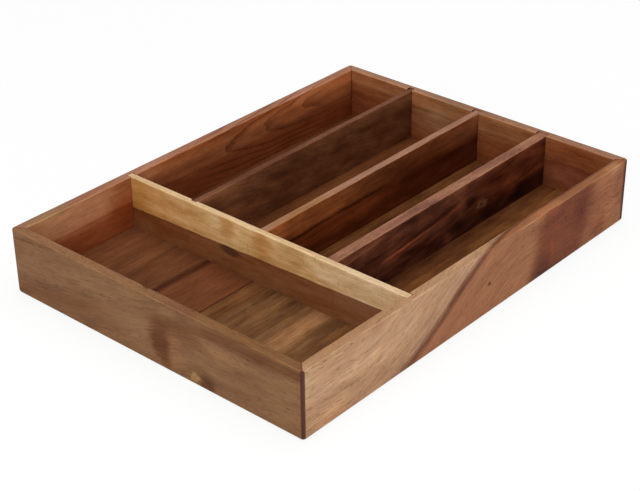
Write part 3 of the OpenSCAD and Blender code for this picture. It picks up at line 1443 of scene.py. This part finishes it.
class Finishes:
    """Looks of every board, as chosen for this tray."""

    FRONT = WoodFinish(
        palette=Palette.of((148, 110, 78), (134, 96, 64), (107, 72, 47), (72, 42, 28)),
        seed=3.0,
        slope=0.04,
        rings=0.14,
        ring_lines=0.06,
        streaks=0.18,
        drift=0.2,
        mottle=0.3,
        pores=0.45,
        fibre=0.34,
        edge_tint_and_sheen=(1.22, 1.2, 1.24),
        swerves=(Swerve(at=-55.0, width=150.0, rise=16.0), Swerve(at=15.0, width=60.0, rise=9.0)),
        veins=(
            Vein(15.4, 6.6, (0.57, 0.4, 0.31), start=12.0, fade=18.0, ragged=1.0),
            Vein(12.3, 10.0, (0.86, 0.76, 0.7), end=-35.0, fade=25.0, ragged=1.5),
            Vein(49.0, 1.4, (0.7, 0.6, 0.5), end=-85.0, fade=12.0),
        ),
        tint_patches=(
            TintPatch((-75.0, 5.0), (55.0, 13.0), (0.9, 0.84, 0.8)),
            TintPatch((10.5, 22.5), (9.0, 16.0), (0.66, 0.5, 0.41), lean=10.0, ragged=0.4, soft=0.45),
            TintPatch((10.5, 19.0), (8.0, 9.0), (0.82, 0.7, 0.62), ragged=0.35, soft=0.5),
            TintPatch((15.0, 6.0), (4.0, 5.0), (0.8, 0.64, 0.48), soft=0.7),
            TintPatch((30.0, 33.0), (18.0, 7.0), (0.8, 0.67, 0.6), ragged=0.4),
            TintPatch((24.0, 17.0), (5.0, 13.0), (1.12, 1.04, 0.98), ragged=0.4),
            TintPatch((66.0, 32.0), (20.0, 5.0), (1.08, 1.08, 1.06)),
            TintPatch((51.0, 4.5), (6.0, 7.0), (0.52, 0.39, 0.32), ragged=0.4),
            TintPatch((41.0, 8.0), (7.0, 5.5), (1.12, 1.12, 0.96), ragged=0.5),
            TintPatch((78.0, 51.0), (68.0, 4.0), (0.83, 0.78, 0.66), ragged=0.2),
            TintPatch.on_top(30.0, 16.0, (0.82, 0.74, 0.84)),
        ),
        knots=(
            Knot((40.5, 6.5), 3.8, paint(156, 119, 76), paint(124, 86, 56), arch=4.0, oval=0.9, ragged=1.7),
        ),
    )
    FRONT_NICKS = (
        Nick(along=-7.0, inwards=7.0, radius=3.4, depth=1.3),
        Nick(along=125.6, inwards=5.0, radius=3.0, depth=0.6),
        Nick(along=66.0, inwards=7.2, radius=2.6, depth=0.5),
    )
    RIGHT = WoodFinish(
        palette=Palette.of((201, 165, 131), (185, 146, 111), (159, 115, 84), (109, 68, 45)),
        seed=7.0,
        rings=0.12,
        ring_lines=0.06,
        streaks=0.2,
        drift=0.18,
        mottle=0.26,
        pores=0.72,
        fibre=0.42,
        wave=1.6,
        skew=2.3,
        edge_tint_and_sheen=(0.97, 0.92, 0.87),
        swerves=(Swerve(at=-35.0, width=190.0, rise=80.0),),
        boundaries=(
            Boundary(
                -13.0,
                below=(0.664, 0.46, 0.365),
                soft=2.4,
                line=(0.42, 0.28, 0.23),
                line_width=6.2,
                ragged=1.8,
            ),
        ),
        veins=(Vein(-6.0, 18.0, (0.82, 0.76, 0.77), ragged=1.5),),
        tint_patches=(
            TintPatch((-140.0, 10.0), (60.0, 12.0), (0.87, 0.84, 0.81)),
            TintPatch(
                (93.0, 25.0),
                (31.0, 90.0),
                (0.55, 0.35, 0.27),
                lean=-14.0,
                ragged=0.12,
                soft=0.32,
                wraps=0.1,
            ),
            TintPatch((122.0, 34.0), (15.0, 19.0), (0.82, 0.7, 0.66), ragged=0.3, soft=0.5, wraps=0.1),
            TintPatch((70.0, 4.0), (13.0, 14.0), (0.62, 0.56, 0.54), soft=0.6, wraps=0.0),
            TintPatch((81.5, 18.0), (2.4, 11.0), (1.16, 1.14, 1.12)),
            TintPatch((104.0, 41.0), (2.2, 7.0), (1.14, 1.12, 1.1), wraps=0.0),
            TintPatch((70.0, 0.0), (7.0, 5.0), (0.5, 0.55, 0.62)),
            TintPatch((148.0, 25.0), (8.0, 40.0), (1.03, 0.92, 0.84), wraps=0.3),
            TintPatch((169.0, 33.0), (11.0, 17.0), (0.82, 0.7, 0.65), soft=0.35),
            TintPatch((8.3, 23.5), (1.9, 1.1), (0.32, 0.17, 0.12), soft=0.5, ragged=0.3),
            TintPatch((-115.0, 26.0), (20.0, 6.0), (1.22, 1.26, 1.3), wraps=0.0),
            TintPatch((-150.0, 5.0), (15.0, 9.0), (1.3, 1.24, 1.18), wraps=0.0),
            TintPatch((137.0, 13.0), (9.0, 10.0), (0.78, 0.64, 0.56), wraps=0.0),
            TintPatch.on_top(-14.0, 20.0, (1.14, 1.17, 1.2)),
            TintPatch.on_top(74.0, 23.0, (1.38, 1.46, 1.5), down=17.0),
            TintPatch.on_top(6.0, 8.0, (1.2, 1.25, 1.22), down=15.0, ragged=0.2),
            TintPatch.on_top(-125.0, 52.0, (0.9, 0.84, 0.8)),
            TintPatch.on_top(157.0, 13.0, (1.25, 1.38, 1.45)),
            # Painted shade: a dark strip down the rounded rear corner, which turns away from the light
            TintPatch((177.0, 25.0), (7.3, 90.0), (0.26, 0.2, 0.18), soft=0.2, ragged=0.08, wraps=0.0),
        ),
    )
    LEFT = WoodFinish(
        palette=Palette.of((211, 136, 91), (185, 111, 67), (148, 81, 46), (104, 51, 28)),
        seed=11.0,
        pith=(37.0, -72.3),
        tilt=(0.0, 0.133),
        oval=2.0,
        ring_pitch=6.0,
        rings=0.16,
        ring_lines=0.5,
        ringed=(0.0, 130.0),
        streaks=0.2,
        mottle=0.34,
        fibre=0.26,
        pores=0.4,
        edge_tint_and_sheen=(0.81, 1.1, 1.82),
        boundaries=(
            Boundary(29.0, below=(0.62, 0.48, 0.42), soft=5.0, line=(0.8, 0.7, 0.65), line_width=1.5),
        ),
        tint_patches=(
            TintPatch((122.0, 41.0), (55.0, 8.0), (1.1, 1.04, 1.0), soft=0.4, wraps=0.0),
            # Painted light and reflection: the upper wall in the front bay, paler and greyer where the side
            # light reaches it and it mirrors white surroundings
            TintPatch((-128.0, 52.0), (70.0, 23.0), (1.17, 1.6, 2.2), ragged=0.15, soft=0.32, wraps=0.0),
            # Painted shade on the top band of the inner face over the lanes
            TintPatch.on_face((15.0, 50.0), (98.0, 6.5), (0.72, 0.62, 0.5), soft=0.4, side=Facing.ALONG),
            # Painted shade in the corner where the cross divider meets the inner face
            TintPatch.on_face((-80.0, 34.0), (15.0, 25.0), (0.76, 0.6, 0.48), side=Facing.ALONG),
            TintPatch.on_top(-148.0, 28.0, (0.82, 1.0, 0.86)),
        ),
    )
    BACK = WoodFinish(
        palette=Palette.of((184, 124, 82), (162, 100, 60), (130, 74, 42), (92, 46, 26)),
        seed=16.0,
        rings=0.16,
        ring_lines=0.1,
        streaks=0.2,
        mottle=0.4,
        edge_tint_and_sheen=(1.1, 1.57, 2.6),
        boundaries=(
            Boundary(37.0, below=(0.68, 0.52, 0.46), soft=7.0, line=(0.84, 0.76, 0.72), ragged=1.5),
        ),
        tint_patches=(
            TintPatch((-5.0, 40.0), (60.0, 14.0), (1.08, 1.22, 1.32), wraps=0.0),
            TintPatch.on_face((-36.0, 27.0), (20.0, 11.0), (1.26, 1.8, 2.4), side=Facing.AGAINST),
            # Painted shade low in the corner of the first lane, by the left wall
            TintPatch((-116.0, 17.0), (16.0, 10.0), (0.74, 0.62, 0.64), wraps=0.0, side=Facing.AGAINST),
            TintPatch((82.0, 22.0), (26.0, 12.0), (1.0, 1.06, 1.5), wraps=0.0, side=Facing.AGAINST),
            TintPatch((92.0, 42.0), (30.0, 8.0), (0.86, 0.7, 0.6), wraps=0.0),
            TintPatch.on_top(-20.0, 38.0, (0.77, 0.81, 0.81)),
        ),
    )
    CROSS = WoodFinish(
        palette=Palette.of((241, 206, 156), (231, 188, 131), (211, 163, 103), (180, 128, 73)),
        seed=21.0,
        slope=0.028,
        rings=0.2,
        ring_lines=0.08,
        streaks=0.22,
        drift=0.4,
        mottle=0.75,
        wave=0.8,
        pores=0.4,
        flecks=1.0,
        edge_tint_and_sheen=(0.93, 1.01, 1.24),
        boundaries=(
            Boundary(29.2, below=(0.33, 0.2, 0.17), soft=0.35, line=(0.6, 0.48, 0.4), line_width=1.0),
        ),
        veins=(Vein(32.0, 3.0, (0.86, 0.78, 0.66)),),
        tint_patches=(
            TintPatch((-27.0, 25.5), (10.0, 3.2), (0.42, 0.42, 0.48), soft=0.3),
            TintPatch((-95.0, 32.0), (45.0, 24.0), (0.9, 0.77, 0.66), wraps=0.2),
            TintPatch((-116.0, 42.0), (13.0, 20.0), (0.78, 0.68, 0.46), ragged=0.4, wraps=0.2),
            TintPatch((-28.0, 44.0), (6.5, 10.0), (0.78, 0.62, 0.44), ragged=0.8, wraps=0.0),
            TintPatch((4.0, 42.0), (8.0, 12.0), (0.8, 0.64, 0.48), ragged=0.8, wraps=0.0),
            TintPatch((28.0, 42.0), (11.0, 12.0), (0.85, 0.8, 0.74), ragged=0.7, wraps=0.0),
            TintPatch((86.0, 43.0), (36.0, 13.0), (1.05, 1.16, 1.44), wraps=0.5),
        ),
    )
    LANE_LEFT = WoodFinish(
        palette=Palette.of((141, 90, 57), (117, 70, 43), (94, 53, 32), (68, 37, 23)),
        seed=25.0,
        rings=0.12,
        ring_lines=0.08,
        streaks=0.15,
        drift=0.5,
        mottle=0.75,
        slope=-0.12,
        wave=4.0,
        edge_tint_and_sheen=(0.92, 0.97, 1.3),
        tint_patches=(
            TintPatch.on_face((-42.0, 34.0), (46.0, 32.0), (1.26, 1.36, 1.45)),
            TintPatch.on_face((70.0, 26.0), (130.0, 9.0), (1.2, 1.2, 1.2)),
            TintPatch.on_face((110.0, 49.0), (75.0, 12.0), (0.76, 0.74, 0.74)),
            TintPatch.on_face((-25.0, 27.0), (24.0, 6.0), (1.5, 1.5, 1.45)),
        ),
    )
    LANE_MIDDLE = WoodFinish(
        palette=Palette.of((185, 111, 65), (153, 86, 46), (117, 61, 30), (72, 35, 19)),
        seed=29.0,
        rings=0.15,
        streaks=0.22,
        mottle=0.45,
        edge_tint_and_sheen=(1.14, 1.93, 4.1),
        boundaries=(
            Boundary(33.0, below=(0.55, 0.42, 0.38), soft=2.6),
        ),
        veins=(
            Vein(32.0, 1.8, (0.34, 0.26, 0.23), end=50.0, fade=12.0, ragged=1.0),
            Vein(27.0, 4.5, (0.6, 0.52, 0.5), start=75.0, fade=20.0),
        ),
        tint_patches=(
            TintPatch((130.0, 30.0), (70.0, 40.0), (0.84, 0.76, 0.8), wraps=0.0),
            TintPatch((100.0, 35.0), (30.0, 4.0), (0.8, 0.72, 0.7), wraps=0.0),
            TintPatch((168.0, 36.0), (26.0, 26.0), (1.1, 1.3, 1.6), wraps=0.0),
            TintPatch.on_face((72.0, 46.0), (58.0, 9.0), (0.52, 0.48, 0.44)),
            TintPatch.on_face((-22.0, 38.0), (44.0, 5.0), (1.4, 1.35, 1.3)),
            TintPatch.on_face((8.0, 26.0), (56.0, 6.0), (1.65, 1.65, 1.6)),
            TintPatch.on_face((-62.0, 46.0), (14.0, 10.0), (1.4, 1.45, 1.4)),
            TintPatch((-30.0, 62.0), (52.0, 16.0), (0.86, 0.8, 0.55), ragged=0.2, soft=0.25),
        ),
    )
    LANE_RIGHT = WoodFinish(
        palette=Palette.of((155, 95, 67), (120, 68, 47), (86, 44, 32), (52, 25, 20)),
        seed=33.0,
        slope=0.094,
        rings=0.2,
        ring_lines=0.12,
        streaks=0.4,
        drift=0.4,
        mottle=0.8,
        fibre=0.45,
        edge_tint_and_sheen=(1.7, 2.38, 2.8),
        veins=(
            Vein(29.6, 1.8, (2.4, 2.2, 2.0), start=-18.0, end=66.0, fade=8.0, ragged=0.8),
            Vein(32.2, 1.5, (0.42, 0.34, 0.33), start=-12.0, end=60.0, fade=8.0, ragged=0.8),
            Vein(33.4, 1.6, (0.45, 0.37, 0.36), start=68.0, end=130.0, fade=8.0, ragged=0.8),
        ),
        tint_patches=(
            TintPatch((80.0, 13.0), (95.0, 10.0), (0.56, 0.49, 0.52)),
            TintPatch((12.0, 22.0), (24.0, 2.6), (0.6, 0.5, 0.5), lean=-12.0),
            TintPatch((32.0, 24.0), (20.0, 2.2), (1.35, 1.3, 1.3), lean=-12.0, wraps=0.0),
            TintPatch((50.0, 15.0), (5.0, 4.0), (1.7, 1.6, 1.5), wraps=0.0),
            TintPatch((77.0, 33.0), (7.5, 3.2), (0.3, 0.28, 0.34), wraps=0.0),
            TintPatch((60.0, 20.0), (9.0, 5.0), (0.36, 0.36, 0.32)),
            TintPatch((148.0, 16.0), (20.0, 8.0), (0.5, 0.48, 0.42)),
            TintPatch((135.0, 36.0), (55.0, 24.0), (0.8, 0.58, 0.46), wraps=0.0),
            TintPatch.on_face((50.0, 50.0), (140.0, 6.5), (0.72, 0.72, 0.7)),
            TintPatch((3.0, 28.0), (22.0, 5.0), (1.3, 1.3, 1.35), ragged=0.4, wraps=0.0),
            TintPatch((66.0, 35.0), (9.0, 9.0), (1.5, 1.5, 1.5), ragged=0.4, wraps=0.0),
            TintPatch((116.0, 30.0), (14.0, 5.0), (1.6, 1.6, 1.6), ragged=0.4, wraps=0.0),
        ),
        knots=(Knot((90.5, 26.0), 3.2, paint(146, 97, 64), paint(104, 60, 43), arch=4.0, oval=1.7),),
    )
    # Painted shade on the floor of the lanes, behind the cross divider
    LANE_SHADE = TintPatch((90.0, -20.0), (150.0, 600.0), (0.9, 0.8, 0.68), ragged=0.1, soft=0.1)
    RED_JOINT = TintPatch((-120.0, -6.0), (80.0, 0.9), (0.5, 0.4, 0.36), ragged=0.05, soft=0.4)
    DARK_JOINT = TintPatch((-115.0, -47.5), (70.0, 3.2), (0.48, 0.4, 0.42), ragged=0.3)
    BROWN_STAVE = Palette.of((140, 88, 54), (116, 70, 42), (88, 50, 30), (60, 32, 19))
    RED_STAVE = Palette.of((142, 85, 53), (121, 70, 42), (94, 51, 30), (68, 35, 21))
    TAN_STAVE = Palette.of((152, 110, 72), (128, 88, 54), (94, 60, 36), (60, 36, 22))
    AMBER_STAVE = Palette.of((144, 92, 46), (118, 72, 33), (86, 49, 22), (58, 31, 16))
    STAVES = (
        stave_finish(1, BROWN_STAVE, 0.5, LANE_SHADE),
        stave_finish(2, BROWN_STAVE, 0.5, LANE_SHADE, DARK_JOINT),
        stave_finish(3, RED_STAVE, 0.4, LANE_SHADE, DARK_JOINT, RED_JOINT),
        stave_finish(
            4,
            TAN_STAVE,
            1.0,
            LANE_SHADE,
            RED_JOINT,
            # More painted shade on this stave's floor in the lanes
            TintPatch((60.0, 15.0), (125.0, 60.0), (0.84, 0.72, 0.68), ragged=0.1, soft=0.1),
            TintPatch((-120.0, 3.0), (75.0, 7.0), (0.88, 0.74, 0.64), ragged=0.3),
            TintPatch((-120.0, 23.0), (75.0, 6.0), (1.22, 1.22, 1.22), ragged=0.3),
        ),
        stave_finish(
            5,
            TAN_STAVE,
            1.0,
            LANE_SHADE,
            TintPatch((-120.0, 38.0), (75.0, 6.0), (0.8, 0.78, 0.78), ragged=0.3),
            TintPatch((-120.0, 57.0), (75.0, 8.0), (1.7, 1.76, 1.9), ragged=0.3),
            TintPatch((-120.0, 71.0), (75.0, 4.0), (0.86, 0.84, 0.8), ragged=0.3),
            # More painted shade on this stave's floor in the lanes
            TintPatch((60.0, 70.0), (125.0, 60.0), (0.66, 0.53, 0.5), ragged=0.1, soft=0.1),
        ),
        stave_finish(
            6,
            AMBER_STAVE,
            1.0,
            LANE_SHADE,
            TintPatch((-125.0, 90.0), (52.0, 60.0), (1.16, 1.36, 2.0), soft=0.2),
            TintPatch((60.0, 100.0), (125.0, 60.0), (1.02, 1.12, 1.5), ragged=0.1, soft=0.1),
        ),
    )


@dataclass(frozen=True)
class SoftLamp:
    """Large soft lamp: where it stands, what it points at, its size and its power in watts."""

    name: str
    stands: Place
    looks_at: Place
    size: float
    power: float

    def build(self) -> None:
        """Add the lamp to the scene."""
        data = bpy.data.lights.new(self.name, "AREA")
        data.shape = "DISK"
        data.size = self.size
        data.energy = self.power
        lamp = bpy.data.objects.new(self.name, data)
        lamp.location = self.stands
        aim = Vector(self.looks_at) - Vector(self.stands)
        lamp.rotation_euler = aim.to_track_quat("-Z", "Y").to_euler()
        bpy.context.scene.collection.objects.link(lamp)


@dataclass(frozen=True)
class Studio:
    """Pale floor, white surroundings, soft lamps and the camera, whose angles are in degrees."""

    lamps: tuple[SoftLamp, ...]
    sky: float = 0.33
    floor_size: float = 12.0
    floor_white: float = 0.9
    floor_glow: float = 0.85
    floor_shine: float = 1.03
    azimuth: float = 41.479
    elevation: float = 30.15
    roll: float = -0.681
    distance: float = 1.0747
    target: Place = (0.01975, -0.03384, 0.03)
    focal_px: float = 1594.16

    def seen_share(self, sheet: ShaderSheet) -> Field:
        """Tell the rays by which a surface is seen, straight or by reflection, from those that carry light.

        Args:
            sheet: The sheet of the surface's material.

        Returns:
            One for the rays by which it is seen, and nought for the others.
        """
        path = sheet.node("ShaderNodeLightPath").outputs
        rays = (Field(sheet, path[f"Is {kind} Ray"]) for kind in ("Camera", "Glossy", "Transmission"))
        first, second, third = rays
        return sheet.math("MAXIMUM", sheet.math("MAXIMUM", first, second), third)

    def build_floor(self) -> None:
        """Lay the floor, which looks white and keeps a soft shadow."""
        half = self.floor_size / 2
        mesh = bpy.data.meshes.new("floor")
        corners = [(-half, -half, 0), (half, -half, 0), (half, half, 0), (-half, half, 0)]
        mesh.from_pydata(corners, [], [(0, 1, 2, 3)])
        sheet = ShaderSheet("floor_white")
        matt = sheet.result(sheet.node("ShaderNodeBsdfDiffuse"), Color=(self.floor_white,) * 3)
        glow = sheet.result(sheet.node("ShaderNodeEmission"), Strength=self.floor_shine)
        glowing = self.seen_share(sheet) * self.floor_glow
        both = sheet.result(sheet.node("ShaderNodeMixShader"), glowing, matt, glow)
        sheet.feed(sheet.node("ShaderNodeOutputMaterial").inputs[0], both)
        mesh.materials.append(sheet.material)
        floor = bpy.data.objects.new("floor", mesh)
        bpy.context.scene.collection.objects.link(floor)

    def build_sky(self) -> None:
        """Surround the object with white that lights it softly."""
        world = bpy.data.worlds.new("studio_white")
        world.use_nodes = True
        nodes, links = world.node_tree.nodes, world.node_tree.links
        nodes.clear()
        path = nodes.new("ShaderNodeLightPath")
        strength = nodes.new("ShaderNodeMapRange")
        white = nodes.new("ShaderNodeBackground")
        out = nodes.new("ShaderNodeOutputWorld")
        strength.inputs["To Min"].default_value = self.sky
        strength.inputs["To Max"].default_value = 1.0
        white.inputs["Color"].default_value = (1.0, 1.0, 1.0, 1.0)
        links.new(path.outputs["Is Camera Ray"], strength.inputs["Value"])
        links.new(strength.outputs[0], white.inputs["Strength"])
        links.new(white.outputs[0], out.inputs[0])
        bpy.context.scene.world = world

    def build_camera(self) -> None:
        """Set the camera at the photograph's viewing angle."""
        a, e, r = (math.radians(v) for v in (self.azimuth, self.elevation, self.roll))
        back = Vector((math.sin(a) * math.cos(e), -math.cos(a) * math.cos(e), math.sin(e)))
        level = Vector((math.cos(a), math.sin(a), 0))
        rise = back.cross(level)
        right = math.cos(r) * level + math.sin(r) * rise
        up = math.cos(r) * rise - math.sin(r) * level
        data = bpy.data.cameras.new("camera")
        data.lens = self.focal_px * data.sensor_width / PHOTO_WIDTH
        camera = bpy.data.objects.new("camera", data)
        turn = Matrix((right, up, back)).transposed().to_4x4()
        camera.matrix_world = Matrix.Translation(Vector(self.target) + back * self.distance) @ turn
        bpy.context.scene.collection.objects.link(camera)
        bpy.context.scene.camera = camera

    def build(self) -> None:
        """Build the floor, the surroundings, the lamps and the camera."""
        bpy.context.scene.view_settings.view_transform = "Standard"
        self.build_floor()
        self.build_sky()
        for lamp in self.lamps:
            lamp.build()
        self.build_camera()


def main() -> None:
    """Build the tray's boards in order, dress them and set up the studio."""
    logging.basicConfig(level=logging.INFO, format="%(name)s: %(message)s")
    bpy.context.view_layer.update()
    cross = "cross_divider"
    lanes = ["left_lane_divider", "middle_lane_divider", "right_lane_divider"]
    walls = MitredFrame(
        plans=(
            WallPlan("front_wall", Side.FRONT, Grain.ALONG_X_UPRIGHT, Finishes.FRONT, Finishes.FRONT_NICKS),
            WallPlan("right_wall", Side.RIGHT, Grain.ALONG_Y_UPRIGHT, Finishes.RIGHT),
            WallPlan("back_wall", Side.BACK, Grain.ALONG_X_UPRIGHT, Finishes.BACK),
            WallPlan("left_wall", Side.LEFT, Grain.ALONG_Y_UPRIGHT, Finishes.LEFT),
        ),
    )
    joinery = Joinery()
    walls.build(joinery, {"back_wall": lanes, "left_wall": [cross], "right_wall": [cross]})
    lane_looks = (Finishes.LANE_LEFT, Finishes.LANE_MIDDLE, Finishes.LANE_RIGHT)
    dividers = StraightBoards(
        plans=(
            BoardPlan(cross, Slot.SAPWOOD, Grain.ALONG_X_UPRIGHT, Finishes.CROSS),
            *(BoardPlan(n, Slot.DIVIDER, Grain.ALONG_Y_UPRIGHT, f) for n, f in zip(lanes, lane_looks)),
        ),
        top_r=0.75,
        bottom_r=0.1,
    )
    left, *stopped = lanes
    slots = {lane: [joinery.shoulder(lane, cross)] for lane in stopped}
    slots[cross] = [joinery.housing(left), *(joinery.stopped_housing(lane, cross) for lane in stopped)]
    dividers.build(joinery, slots)
    staves = StraightBoards(
        plans=tuple(
            BoardPlan(f"base_stave_{i}", Slot.BASE, Grain.ALONG_Y_FLAT, finish)
            for i, finish in enumerate(Finishes.STAVES, start=1)
        ),
        top_r=0.3,
        bottom_r=0.3,
        unevenness=0.03,
    )
    staves.build(joinery, {})
    Studio(
        lamps=(
            SoftLamp("top", stands=(0.1, 0.1, 1.8), looks_at=(0.0, 0.0, 0.0), size=1.6, power=16.5),
            SoftLamp("front", stands=(0.2, -1.9, 1.0), looks_at=(0.0, 0.0, 0.02), size=1.2, power=16.0),
            SoftLamp("side", stands=(1.8, -0.4, 0.28), looks_at=(0.0, 0.0, 0.03), size=0.5, power=10.0),
        ),
    ).build()


if __name__ == "__main__":
    main()
